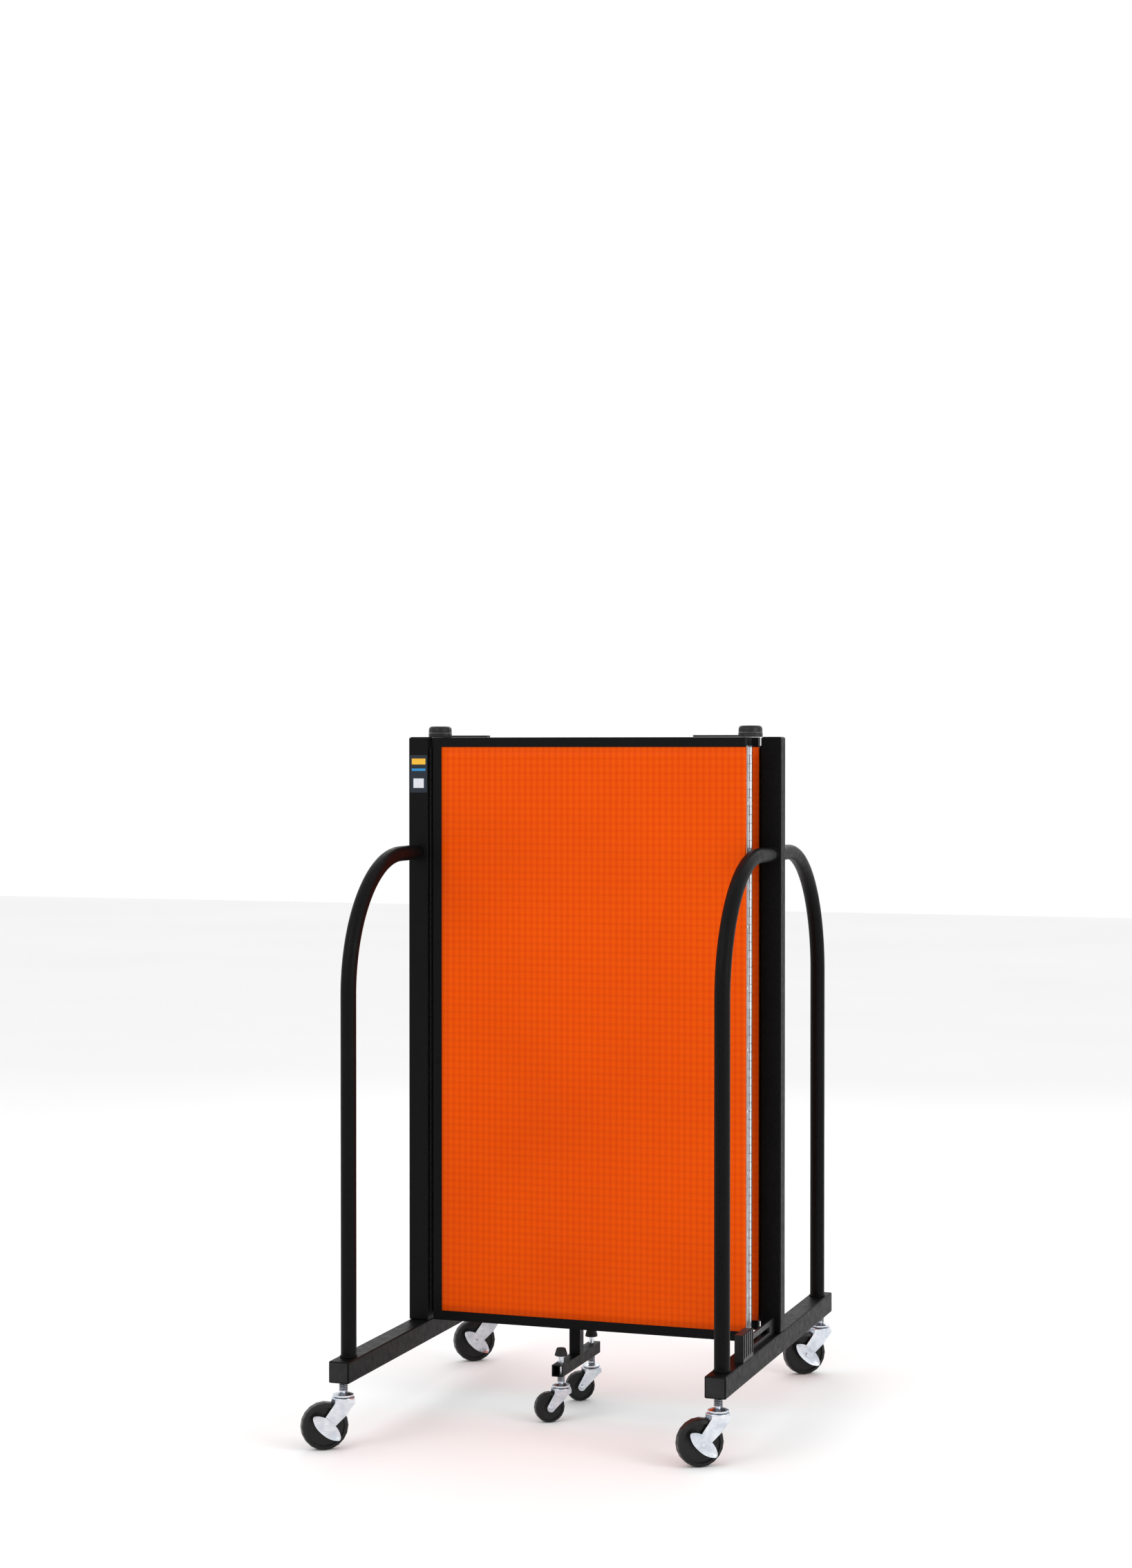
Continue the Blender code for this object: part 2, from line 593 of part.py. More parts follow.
def build_screen():
    middle = make_pivot("screen_middle", None, (-MIDDLE_X, -MIDDLE_Y, 0))
    half_gap = FOLD_GAP / 2
    centre_depth = half_gap + PANEL_DEPTH / 2
    across = PANEL_DEPTH + FOLD_GAP

    left = make_pivot("left_frame_axis", middle, (-PANEL_END - FOOT / 2, centre_depth, 0))
    panel_1 = make_pivot("panel_1_axis", middle)
    pin_b = make_pivot("hinge_b_axis", panel_1, (PANEL_PITCH, across, 0))
    panel_2 = make_pivot("panel_2_axis", panel_1, (PANEL_PITCH, across, 0), math.pi)
    pin_c = make_pivot("hinge_c_axis", panel_2, (PANEL_PITCH, -across, 0))
    panel_3 = make_pivot("panel_3_axis", panel_2, (PANEL_PITCH, -across, 0), FOLD_ANGLE - math.pi)
    pin_d = make_pivot("hinge_d_axis", panel_3, (PANEL_PITCH, across, 0))
    right_axis = make_pivot("right_frame_axis", panel_3, (PANEL_PITCH, across, 0), -FOLD_ANGLE)
    right = make_pivot("right_frame_middle", right_axis, (PANEL_END + FOOT / 2, -centre_depth, 0))

    build_frame_with_casters("left", left)
    build_frame_with_casters("right", right)
    build_grip(right)
    for number, pivot, side, wrapped in ((1, panel_1, 1, 1), (2, panel_2, -1, 0), (3, panel_3, 1, 1)):
        build_panel(number, pivot, side, wrapped)
    build_centre_support(panel_2)

    build_edge_leaf("hinge_a_post_leaf", make_pivot("hinge_a_axis", middle), True, -1, 1, PANEL_BLACK)
    build_edge_leaf("hinge_a_panel_leaf", panel_1, False, 1, 1, PANEL_BLACK)
    build_edge_leaf("hinge_b_panel_1_leaf", pin_b, True, -1, -1, BARE_STEEL)
    build_edge_leaf("hinge_b_panel_2_leaf", panel_2, False, 1, -1, BARE_STEEL)
    build_edge_leaf("hinge_c_panel_2_leaf", pin_c, True, -1, 1, BARE_STEEL)
    build_edge_leaf("hinge_c_panel_3_leaf", panel_3, False, 1, 1, BARE_STEEL)
    build_edge_leaf("hinge_d_panel_leaf", pin_d, True, -1, -1, PANEL_BLACK)
    build_edge_leaf("hinge_d_post_leaf", right_axis, False, 1, -1, PANEL_BLACK)

    build_damper("damper_b", pin_b, panel_2, (-1, -centre_depth))
    build_damper("damper_c", pin_c, panel_3, (-1, centre_depth))


clear_scene()
PARTS = make_collection("welding_curtain_screen")
CUTTERS = make_collection("cutters")
build_screen()
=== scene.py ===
import json
import math

import bmesh
import bpy
from mathutils import Matrix, Vector


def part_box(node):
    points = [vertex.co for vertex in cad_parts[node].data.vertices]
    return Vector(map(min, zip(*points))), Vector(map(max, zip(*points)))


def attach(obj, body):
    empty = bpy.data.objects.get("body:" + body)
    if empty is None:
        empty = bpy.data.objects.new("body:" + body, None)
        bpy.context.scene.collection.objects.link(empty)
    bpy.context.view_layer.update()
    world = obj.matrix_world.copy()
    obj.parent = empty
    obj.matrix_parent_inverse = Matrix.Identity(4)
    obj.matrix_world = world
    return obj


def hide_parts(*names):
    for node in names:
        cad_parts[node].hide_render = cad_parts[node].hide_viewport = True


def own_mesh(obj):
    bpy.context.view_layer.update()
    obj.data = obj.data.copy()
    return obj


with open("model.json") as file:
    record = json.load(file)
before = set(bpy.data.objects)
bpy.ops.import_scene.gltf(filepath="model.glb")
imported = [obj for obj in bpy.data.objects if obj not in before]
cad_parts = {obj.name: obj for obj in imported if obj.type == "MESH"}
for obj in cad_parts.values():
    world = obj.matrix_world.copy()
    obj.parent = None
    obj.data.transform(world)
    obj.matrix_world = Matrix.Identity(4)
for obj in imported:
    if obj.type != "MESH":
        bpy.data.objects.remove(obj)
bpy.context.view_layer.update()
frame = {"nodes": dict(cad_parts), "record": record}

# Panels: PITCH is pin to pin along a panel, ACROSS pin to pin through it, DEPTH pin to middle plane
PITCH = 0.5588
FOLD_GAP = 0.0012
PANEL_DEPTH = 0.0216
PANEL_END = 0.0037
RAIL = 0.019
ACROSS = FOLD_GAP + PANEL_DEPTH
DEPTH = ACROSS / 2
FOLD_ANGLE = 5
PIN_A = Vector((-0.2580, -0.0447, 0.0))
PANEL_LOW, PANEL_HIGH = 0.144, 1.140

# Vinyl sheets
SHEET_EDGE = 0.0165
SHEET_OUT = 0.0103
SHEET_THICK = 0.0007
SHEET_BEND = 0.0018
SHEET_STANDOFF = 0.0008
SHEET_RIPPLE = 0.00016
FACE_STEPS, BEND_STEPS, END_STEPS, SHEET_ROWS = 40, 6, 4, 60

# Rivets along each sheet's held edge
RIVET_FIRST, RIVET_PITCH, RIVET_COUNT = 0.181, 0.2032, 5
RIVET_INSET = 0.0085

# Piano hinges
BARREL, LEAF, LEAF_WIDTH, KNUCKLE = 0.0020, 0.0008, 0.015, 0.0140
KNUCKLE_GAP = 0.0003
LEAF_STANDOFF = 0.00175
HINGE_INSET = 0.014
SCREW_FIRST, SCREW_PITCH, SCREW_COUNT = 0.060, 0.1016, 9
HINGE_LOW, HINGE_HIGH = PANEL_LOW + HINGE_INSET, PANEL_HIGH - HINGE_INSET

# End frames
BOW_RADIUS, BOW_BEND = 0.0127, 0.220
LEG_STEPS, BOW_STEPS, TUBE_SIDES = 6, 36, 28
TUBE_ROUNDING = 0.0024
BEAD_RADIUS, BEAD_LUMPS = 0.0128, 16
PLUG_INSET, PLUG_DEEP, PLUG_PROUD = 0.0022, 0.010, 0.0012
POST_PLUG_PROUD = 0.0010
LABEL_LOW, LABEL_HIGH = 1.046, 1.110

# Casters
TRAIL_TURN, BRAKE_TILT = 215.8, 48
FORK_CLEARANCE, FORK_WALL, LEVER_CLEARANCE = 0.0018, 0.0022, 0.0031
SPRING_TURNS, SPRING_RADIUS, SLIDE_TRAVEL = 5, 0.0011, 0.006
END = {"wheel": 0.0381, "width": 0.0215, "trail": 0.031, "race": 0.0185, "plate": 0.003, "axle": 0.0042}
CENTRE = {"wheel": 0.0254, "width": 0.017, "trail": 0.0205, "race": 0.0165, "plate": 0.0025, "axle": 0.0034}


def turned_frame(origin, degrees):
    """A frame at origin, turned about Z. Panels and casters are built in frames like this."""
    return Matrix.Translation(origin) @ Matrix.Rotation(math.radians(degrees), 4, "Z")


PANEL_1 = turned_frame(PIN_A, 0)
PIN_B = PANEL_1 @ Vector((PITCH, ACROSS, 0))
PANEL_2 = turned_frame(PIN_B, 180)
PIN_C = PANEL_2 @ Vector((PITCH, -ACROSS, 0))
PANEL_3 = turned_frame(PIN_C, FOLD_ANGLE)
PIN_D = PANEL_3 @ Vector((PITCH, ACROSS, 0))
RIGHT = turned_frame(PIN_D, 0)


# ---------------------------------------------------------------- materials
class Paint:
    """A procedural material under construction: a Principled shader and the textures that feed it."""

    def __init__(self, name, roughness, metallic=0.0, **sockets):
        self.material = bpy.data.materials.new(name)
        self.material.use_nodes = True
        self.tree = self.material.node_tree
        self.shader = self.tree.nodes["Principled BSDF"]
        self.shader.inputs["Roughness"].default_value = roughness
        self.shader.inputs["Metallic"].default_value = metallic
        for key, value in sockets.items():
            self.shader.inputs[key.replace("_", " ")].default_value = value
        self.place = self.tree.nodes.new("ShaderNodeTexCoord").outputs["Object"]

    def mapped(self, scale):
        node = self.tree.nodes.new("ShaderNodeMapping")
        node.inputs["Scale"].default_value = scale
        self.tree.links.new(self.place, node.inputs["Vector"])
        return node.outputs["Vector"]

    def noise(self, size, detail=3.0, scale=(1, 1, 1), rough=0.55):
        node = self.tree.nodes.new("ShaderNodeTexNoise")
        node.inputs["Scale"].default_value = 1.0 / size
        node.inputs["Detail"].default_value = detail
        node.inputs["Roughness"].default_value = rough
        self.tree.links.new(self.mapped(scale), node.inputs["Vector"])
        return node.outputs["Fac"]

    def wave(self, direction, period):
        node = self.tree.nodes.new("ShaderNodeTexWave")
        node.bands_direction = direction
        node.inputs["Scale"].default_value = math.pi / (10.0 * period)
        self.tree.links.new(self.place, node.inputs["Vector"])
        return node.outputs["Fac"]

    def ramp(self, factor, stops):
        node = self.tree.nodes.new("ShaderNodeValToRGB")
        while len(node.color_ramp.elements) < len(stops):
            node.color_ramp.elements.new(0.5)
        for element, (position, colour) in zip(node.color_ramp.elements, stops):
            element.position = position
            element.color = (*colour, 1.0)
        self.tree.links.new(factor, node.inputs["Fac"])
        return node.outputs["Color"]

    def mix(self, kind, amount, first, second):
        node = self.tree.nodes.new("ShaderNodeMix")
        node.data_type = "RGBA"
        node.blend_type = kind
        self.feed(node.inputs[0], amount)
        self.feed(node.inputs[6], first)
        self.feed(node.inputs[7], second)
        return node.outputs[2]

    def feed(self, socket, value):
        if isinstance(value, bpy.types.NodeSocket):
            self.tree.links.new(value, socket)
        else:
            socket.default_value = (*value, 1.0) if isinstance(value, tuple) and len(value) == 3 else value

    def grey(self, factor, low, high):
        return self.ramp(factor, [(0.25, (low,) * 3), (0.75, (high,) * 3)])

    def colour(self, value):
        self.feed(self.shader.inputs["Base Color"], value)

    def rough(self, value):
        self.feed(self.shader.inputs["Roughness"], value)

    def bump(self, height, strength, distance):
        node = self.tree.nodes.new("ShaderNodeBump")
        node.inputs["Strength"].default_value = strength
        node.inputs["Distance"].default_value = distance
        self.feed(node.inputs["Height"], height)
        self.feed(self.shader.inputs["Normal"], node.outputs["Normal"])


def powder_coat(name, dark, light, roughness=0.42, grain=0.0011):
    paint = Paint(name, roughness, Specular_IOR_Level=0.07)
    speckle = paint.noise(grain, 2.0, rough=0.7)
    wide = paint.noise(0.06, 3.0)
    base = paint.ramp(speckle, [(0.42, dark), (0.62, light)])
    paint.colour(paint.mix("MULTIPLY", 0.5, base, paint.grey(wide, 0.75, 1.15)))
    paint.rough(paint.grey(paint.noise(0.012), roughness - 0.07, roughness + 0.10))
    paint.bump(speckle, 0.35, 0.0003)
    return paint.material


def vinyl(name):
    paint = Paint(name, 0.45, Specular_IOR_Level=0.05)
    deep, bright = (0.66, 0.068, 0.0), (0.74, 0.082, 0.0)
    tone = paint.ramp(paint.noise(0.35, 2.0), [(0.3, deep), (0.7, bright)])
    threads = paint.ramp(paint.wave("X", 0.0108), [(0.05, (0.90, 0.74, 0.70)), (0.75, (1.0, 1.0, 1.0))])
    rows = paint.ramp(paint.wave("Z", 0.0120), [(0.05, (0.93, 0.84, 0.80)), (0.65, (1.0, 1.0, 1.0))])
    fine = paint.ramp(paint.wave("Z", 0.0030), [(0.0, (0.96, 0.93, 0.92)), (0.5, (1.0, 1.0, 1.0))])
    woven = paint.mix("MULTIPLY", 1.0, paint.mix("MULTIPLY", 1.0, threads, rows), fine)
    paint.colour(paint.mix("MULTIPLY", 0.75, tone, woven))
    paint.rough(paint.grey(paint.noise(0.02, 4.0), 0.38, 0.52))
    height = paint.mix("ADD", 0.35, woven, paint.grey(paint.noise(0.12, 2.0), 0.0, 1.0))
    paint.bump(height, 0.28, 0.0006)
    return paint.material


def metal(name, low, high, roughness, stretch=(1, 1, 1), size=0.004, depth=0.0001):
    paint = Paint(name, roughness, 1.0)
    clouds = paint.noise(0.018, 4.0)
    lines = paint.noise(size, 3.0, stretch, 0.7)
    tone = paint.ramp(clouds, [(0.30, low), (0.70, high)])
    paint.colour(paint.mix("MULTIPLY", 0.35, tone, paint.grey(lines, 0.7, 1.0)))
    paint.rough(paint.grey(lines, roughness - 0.08, roughness + 0.12))
    paint.bump(lines, 0.20, depth)
    return paint.material


def moulded(name, dark, light, roughness, grain=0.0009, strength=0.3):
    paint = Paint(name, roughness, Specular_IOR_Level=0.28)
    grains = paint.noise(grain, 2.0)
    paint.colour(paint.ramp(paint.noise(0.02, 4.0), [(0.3, dark), (0.7, light)]))
    paint.rough(paint.grey(paint.noise(0.008), roughness - 0.08, roughness + 0.12))
    paint.bump(grains, strength, 0.0002)
    return paint.material


BLACK = powder_coat("black_powder_coat", (0.0014, 0.0014, 0.0015), (0.0065, 0.0066, 0.0072))
PANEL_BLACK = powder_coat("black_panel_paint", (0.0013, 0.0013, 0.0014), (0.0058, 0.0060, 0.0066), 0.40)
VINYL = vinyl("orange_scrim_vinyl")
STEEL = metal("bare_hinge_steel", (0.66, 0.67, 0.69), (0.82, 0.83, 0.85), 0.27, (60, 60, 1), 0.06)
ZINC = metal("bright_zinc_plate", (0.55, 0.60, 0.68), (0.84, 0.87, 0.91), 0.24)
SPRING_WIRE = metal("spring_wire", (0.20, 0.21, 0.23), (0.42, 0.44, 0.48), 0.30)
WHEEL = moulded("black_wheel_rubber", (0.0030, 0.0030, 0.0033), (0.010, 0.010, 0.011), 0.34)
RUBBER = moulded("bumper_rubber", (0.005, 0.005, 0.005), (0.013, 0.0125, 0.012), 0.58)
PLASTIC = moulded("moulded_black_plastic", (0.0035, 0.0035, 0.004), (0.011, 0.011, 0.012), 0.38, 0.0016, 0.45)


def printed(name, colour):
    paint = Paint(name, 0.32, Specular_IOR_Level=0.3)
    paint.colour(paint.mix("MULTIPLY", 0.4, colour, paint.grey(paint.noise(0.006), 0.75, 1.0)))
    return paint.material


LABEL = printed("label_plate", (0.006, 0.012, 0.022))
BAND_YELLOW = printed("label_yellow", (0.75, 0.42, 0.03))
BAND_BLUE = printed("label_blue", (0.02, 0.22, 0.50))
BAND_PALE = printed("label_pale", (0.62, 0.64, 0.68))

SLOT_PAINT = {
    "frame_black": BLACK, "panel_frame_black": PANEL_BLACK, "orange_vinyl": VINYL,
    "hinge_steel": STEEL, "hinge_black": PANEL_BLACK, "zinc": ZINC, "wheel_black": WHEEL,
    "damper_plastic": PLASTIC, "grip_black": PLASTIC, "rubber": RUBBER,
}
SLOT_OF = {row["node"]: row["material_slot"] for row in frame["record"]["subparts"]}


def paint_cad_nodes():
    for name, node in frame["nodes"].items():
        paint = SPRING_WIRE if name.endswith("_spring") else SLOT_PAINT[SLOT_OF[name]]
        for material_slot in node.material_slots:
            material_slot.material = paint
        if not node.material_slots:
            node.data.materials.append(paint)


paint_cad_nodes()


# ---------------------------------------------------------------- mesh helpers
def new_piece(name, shape, paint, body, matrix=None, smooth=True):
    """Makes an object of the shape, which rides on body and takes its finish from paint."""
    mesh = bpy.data.meshes.new(name)
    shape.to_mesh(mesh)
    shape.free()
    if matrix is not None:
        mesh.transform(matrix)
    for face in mesh.polygons:
        face.use_smooth = smooth
    made = bpy.data.objects.new(name, mesh)
    bpy.context.scene.collection.objects.link(made)
    mesh.materials.append(paint)
    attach(made, body)
    return made


def soften(piece, width, segments=2, angle=32):
    bevel = piece.modifiers.new("edges", "BEVEL")
    bevel.width = width
    bevel.segments = segments
    bevel.limit_method = "ANGLE"
    bevel.angle_limit = math.radians(angle)
    bevel.harden_normals = True


def block(shape, low, high):
    """Adds a rectangular solid between two corners."""
    low, high = Vector(low), Vector(high)
    for vert in bmesh.ops.create_cube(shape, size=1.0)["verts"]:
        vert.co = Vector([low[i] + (high[i] - low[i]) * (vert.co[i] + 0.5) for i in range(3)])


def ring(shape, centre, side, other, radius, count):
    """A circle of vertices about centre, in the plane of side and other."""
    angles = [2 * math.pi * k / count for k in range(count)]
    return [shape.verts.new(centre + side * radius * math.cos(angle) + other * radius * math.sin(angle))
            for angle in angles]


def bridge(shape, first, second):
    """Faces between two rings of the same count."""
    count = len(first)
    for k in range(count):
        n = (k + 1) % count
        shape.faces.new((first[k], first[n], second[n], second[k]))


def swept_rings(shape, rings):
    """A round bar through rings, closed at both ends."""
    for first, second in zip(rings, rings[1:]):
        bridge(shape, first, second)
    shape.faces.new(rings[0])
    shape.faces.new(rings[-1])
    bmesh.ops.recalc_face_normals(shape, faces=shape.faces)


def revolve(shape, profile, base, axis, steps=24):
    """Turns (radius, height) points about an axis through base. The first and last radius may be 0."""
    axis = Vector(axis).normalized()
    side = axis.orthogonal().normalized()
    other = axis.cross(side)
    rings = []
    for radius, height in profile:
        centre = Vector(base) + axis * height
        if radius < 1e-7:
            rings.append([shape.verts.new(centre)])
            continue
        rings.append(ring(shape, centre, side, other, radius, steps))
    for first, second in zip(rings, rings[1:]):
        for k in range(steps):
            corners = [first[k % len(first)], first[(k + 1) % len(first)],
                       second[(k + 1) % len(second)], second[k % len(second)]]
            unique = list(dict.fromkeys(corners))
            if len(unique) > 2:
                shape.faces.new(unique)
    bmesh.ops.recalc_face_normals(shape, faces=shape.faces)


# ---------------------------------------------------------------- vinyl sheets
def sheet_route(side, wrap_far):
    """The sheet's run in its panel's X and Y: over the front, round one upright and back over the rear."""
    near, far = PANEL_END, PITCH - PANEL_END
    start, end = (near + SHEET_EDGE, far) if wrap_far else (far - SHEET_EDGE, near)
    out = 1 if wrap_far else -1
    middle = side * DEPTH
    front = middle - SHEET_OUT
    turn = end - out * SHEET_BEND / 2
    route = [(start + (turn - start) * k / FACE_STEPS, front) for k in range(FACE_STEPS + 1)]
    for k in range(1, BEND_STEPS):
        angle = math.radians(90) * k / BEND_STEPS
        route.append((turn + out * (SHEET_BEND / 2 + SHEET_STANDOFF) * math.sin(angle),
                      front + SHEET_BEND * (1 - math.cos(angle))))
    rear_half = [(x, 2 * middle - y) for x, y in reversed(route)]
    straight = 2 * (SHEET_OUT - SHEET_BEND)
    for k in range(END_STEPS + 1):
        route.append((end + out * SHEET_STANDOFF, front + SHEET_BEND + straight * k / END_STEPS))
    return route + rear_half, start, end


def vinyl_sheet(number, matrix, side, wrap_far, body):
    """One sheet pulled tight round its panel, with the slight unevenness of stretched vinyl."""
    route, start, end = sheet_route(side, wrap_far)
    low, high = PANEL_LOW + SHEET_EDGE, PANEL_HIGH - SHEET_EDGE
    span = abs(end - start)
    shape = bmesh.new()
    grid = []
    for j in range(SHEET_ROWS + 1):
        z = low + (high - low) * j / SHEET_ROWS
        line = []
        for x, y in route:
            away = min(abs(x - start), abs(end - x)) / span
            hold = min(1.0, away * 8) * min(1.0, (z - low) * 12, (high - z) * 12)
            swell = (math.sin(x * 23 + number) * math.sin(z * 11 + 2 * number)
                     + 0.5 * math.sin(x * 51 + z * 17))
            line.append(shape.verts.new((x, y + SHEET_RIPPLE * hold * swell, z)))
        grid.append(line)
    for lower, upper in zip(grid, grid[1:]):
        for k in range(len(route) - 1):
            shape.faces.new((lower[k], lower[k + 1], upper[k + 1], upper[k]))
    bmesh.ops.recalc_face_normals(shape, faces=shape.faces)
    piece = new_piece(f"vinyl_sheet_{number}", shape, VINYL, body, matrix)
    thick = piece.modifiers.new("thickness", "SOLIDIFY")
    thick.thickness = SHEET_THICK
    thick.offset = 0.0
    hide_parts(f"panel_{number}_sheet")


vinyl_sheet(1, PANEL_1, 1, True, "panel_1")
vinyl_sheet(2, PANEL_2, -1, False, "panel_2")
vinyl_sheet(3, PANEL_3, 1, True, "panel_3")


# ---------------------------------------------------------------- rivets along the held edge of each sheet
RIVET_DOME = [(0.0034, -0.0004), (0.0034, 0.0002), (0.0030, 0.0008), (0.0018, 0.00115), (0, 0.0012)]


def rivets(number, matrix, side, place_x, body):
    shape = bmesh.new()
    for face in (-1, 1):
        frame_face = side * DEPTH + face * RAIL / 2
        for k in range(RIVET_COUNT):
            revolve(shape, RIVET_DOME, (place_x, frame_face, RIVET_FIRST + RIVET_PITCH * k), (0, face, 0), 14)
    new_piece(f"panel_{number}_rivets", shape, PANEL_BLACK, body, matrix)


rivets(1, PANEL_1, 1, PANEL_END + RIVET_INSET, "panel_1")
rivets(2, PANEL_2, -1, PITCH - PANEL_END - RIVET_INSET, "panel_2")
rivets(3, PANEL_3, 1, PANEL_END + RIVET_INSET, "panel_3")


# ---------------------------------------------------------------- piano hinges
def piano_leaf(node, matrix, along, across, odd, body, paint):
    """A leaf plate with a rolled knuckle at every second step and a row of screw heads.

    Along is the side of the pin that the plate lies on, and across is the way it runs from the pin."""
    face = along * (PANEL_END - LEAF_STANDOFF)
    inner, outer = sorted((face, face - along * LEAF))
    plate = sorted((across * (BARREL + KNUCKLE_GAP), across * (BARREL + LEAF_WIDTH)))
    tab = sorted((across * 0.0004, across * (BARREL + 0.0012)))
    shape = bmesh.new()
    block(shape, (inner, plate[0], HINGE_LOW), (outer, plate[1], HINGE_HIGH))
    for k in range(int((HINGE_HIGH - HINGE_LOW) / KNUCKLE)):
        if (k % 2 == 1) != odd:
            continue
        low = HINGE_LOW + k * KNUCKLE + KNUCKLE_GAP
        high = low + KNUCKLE - 2 * KNUCKLE_GAP
        rolled = [(0, low), (BARREL - 0.0002, low), (BARREL, low + 0.0002),
                  (BARREL, high - 0.0002), (BARREL - 0.0002, high), (0, high)]
        revolve(shape, rolled, (0, 0, 0), (0, 0, 1), 14)
        block(shape, (inner, tab[0], low), (outer, tab[1], high))
    screw = [(0.0031, 0), (0.0027, 0.00035), (0.0011, 0.0005), (0.0009, 0.0001), (0, 0.0001)]
    for k in range(SCREW_COUNT):
        z = HINGE_LOW + SCREW_FIRST + k * SCREW_PITCH
        revolve(shape, screw, (face - along * LEAF, across * (BARREL + 0.0085), z), (-along, 0, 0), 16)
    piece = new_piece(f"{node}_detail", shape, paint, body, matrix, smooth=False)
    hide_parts(node)


AXIS_A = turned_frame(PIN_A, 0)
AXIS_B = turned_frame(PIN_B, 0)
AXIS_C = turned_frame(PIN_C, 180)
AXIS_D = turned_frame(PIN_D, FOLD_ANGLE)
piano_leaf("hinge_a_post_leaf", AXIS_A, -1, 1, False, "left_frame", PANEL_BLACK)
piano_leaf("hinge_a_panel_leaf", PANEL_1, 1, 1, True, "panel_1", PANEL_BLACK)
piano_leaf("hinge_b_panel_1_leaf", AXIS_B, -1, -1, False, "panel_1", STEEL)
piano_leaf("hinge_b_panel_2_leaf", PANEL_2, 1, -1, True, "panel_2", STEEL)
piano_leaf("hinge_c_panel_2_leaf", AXIS_C, -1, 1, False, "panel_2", STEEL)
piano_leaf("hinge_c_panel_3_leaf", PANEL_3, 1, 1, True, "panel_3", STEEL)
piano_leaf("hinge_d_panel_leaf", AXIS_D, -1, -1, False, "panel_3", PANEL_BLACK)
piano_leaf("hinge_d_post_leaf", RIGHT, 1, -1, True, "right_frame", PANEL_BLACK)


# ---------------------------------------------------------------- end frames: braces and square tube
def brace(side_name, end, sign):
    """An arched tube from the foot up, over a quarter circle, to the post."""
    low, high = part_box(f"{side_name}_{end}_bow")
    x = (low[0] + high[0]) / 2
    leg = (low[1] if sign < 0 else high[1]) - sign * BOW_RADIUS
    root = high[1] if sign < 0 else low[1]
    crest = high[2] - BOW_RADIUS
    bend_start = crest - BOW_BEND
    route = [Vector((x, leg, low[2] + (bend_start - low[2]) * k / LEG_STEPS)) for k in range(LEG_STEPS)]
    for k in range(BOW_STEPS + 1):
        angle = math.radians(90) * k / BOW_STEPS
        route.append(Vector((x, leg - sign * BOW_BEND * (1 - math.cos(angle)),
                             bend_start + BOW_BEND * math.sin(angle))))
    route.append(Vector((x, root, crest)))
    shape = bmesh.new()
    side = Vector((1, 0, 0))
    rings = []
    for k, point in enumerate(route):
        before, after = route[max(k - 1, 0)], route[min(k + 1, len(route) - 1)]
        other = (after - before).normalized().cross(side).normalized()
        rings.append(ring(shape, point, side, other, BOW_RADIUS, TUBE_SIDES))
    swept_rings(shape, rings)
    piece = new_piece(f"{side_name}_{end}_brace", shape, BLACK, f"{side_name}_frame")
    soften(piece, 0.0006, 2, 60)
    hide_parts(f"{side_name}_{end}_bow")


def square_tube(side_name, part):
    low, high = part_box(f"{side_name}_{part}")
    shape = bmesh.new()
    block(shape, low, high)
    tube = new_piece(f"{side_name}_{part}_tube", shape, BLACK, f"{side_name}_frame")
    soften(tube, TUBE_ROUNDING, 4)
    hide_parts(f"{side_name}_{part}")


for side_name in ("left", "right"):
    for end, sign in (("front", -1), ("rear", 1)):
        brace(side_name, end, sign)
    for part in ("foot", "post"):
        square_tube(side_name, part)


# ---------------------------------------------------------------- end frames: plugs, weld beads and label
def bead(shape, base, axis, size):
    """A weld bead round a joint: a ring whose section swells a little at each ripple."""
    base, axis = Vector(base), Vector(axis).normalized()
    side = axis.orthogonal().normalized()
    other = axis.cross(side)
    around, section = BEAD_LUMPS * 3, 8
    rings = []
    for k in range(around):
        angle = 2 * math.pi * k / around
        swell = size * (0.85 + 0.15 * math.cos(angle * BEAD_LUMPS))
        out = side * math.cos(angle) + other * math.sin(angle)
        line = []
        for j in range(section):
            turn = 2 * math.pi * j / section
            line.append(shape.verts.new(base + out * (BEAD_RADIUS + 0.8 * swell * math.cos(turn))
                                        + axis * (0.7 * swell + 0.7 * swell * math.sin(turn))))
        rings.append(line)
    for k in range(around):
        bridge(shape, rings[k], rings[(k + 1) % around])
    bmesh.ops.recalc_face_normals(shape, faces=shape.faces)


def foot_plugs(side_name):
    low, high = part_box(f"{side_name}_foot")
    shape = bmesh.new()
    for end, sign in ((low[1], 1), (high[1], -1)):
        ys = sorted((end - sign * PLUG_PROUD, end + sign * PLUG_DEEP))
        block(shape, (low[0] + PLUG_INSET, ys[0], low[2] + PLUG_INSET),
              (high[0] - PLUG_INSET, ys[1], high[2] - PLUG_INSET))
    soften(new_piece(f"{side_name}_foot_plugs", shape, PLASTIC, f"{side_name}_frame"), 0.0012)


def post_plug(side_name):
    low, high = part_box(f"{side_name}_post")
    shape = bmesh.new()
    block(shape, (low[0] + PLUG_INSET, low[1] + PLUG_INSET, high[2] - PLUG_DEEP),
          (high[0] - PLUG_INSET, high[1] - PLUG_INSET, high[2] + POST_PLUG_PROUD))
    soften(new_piece(f"{side_name}_post_plug", shape, PLASTIC, f"{side_name}_frame"), 0.0012)


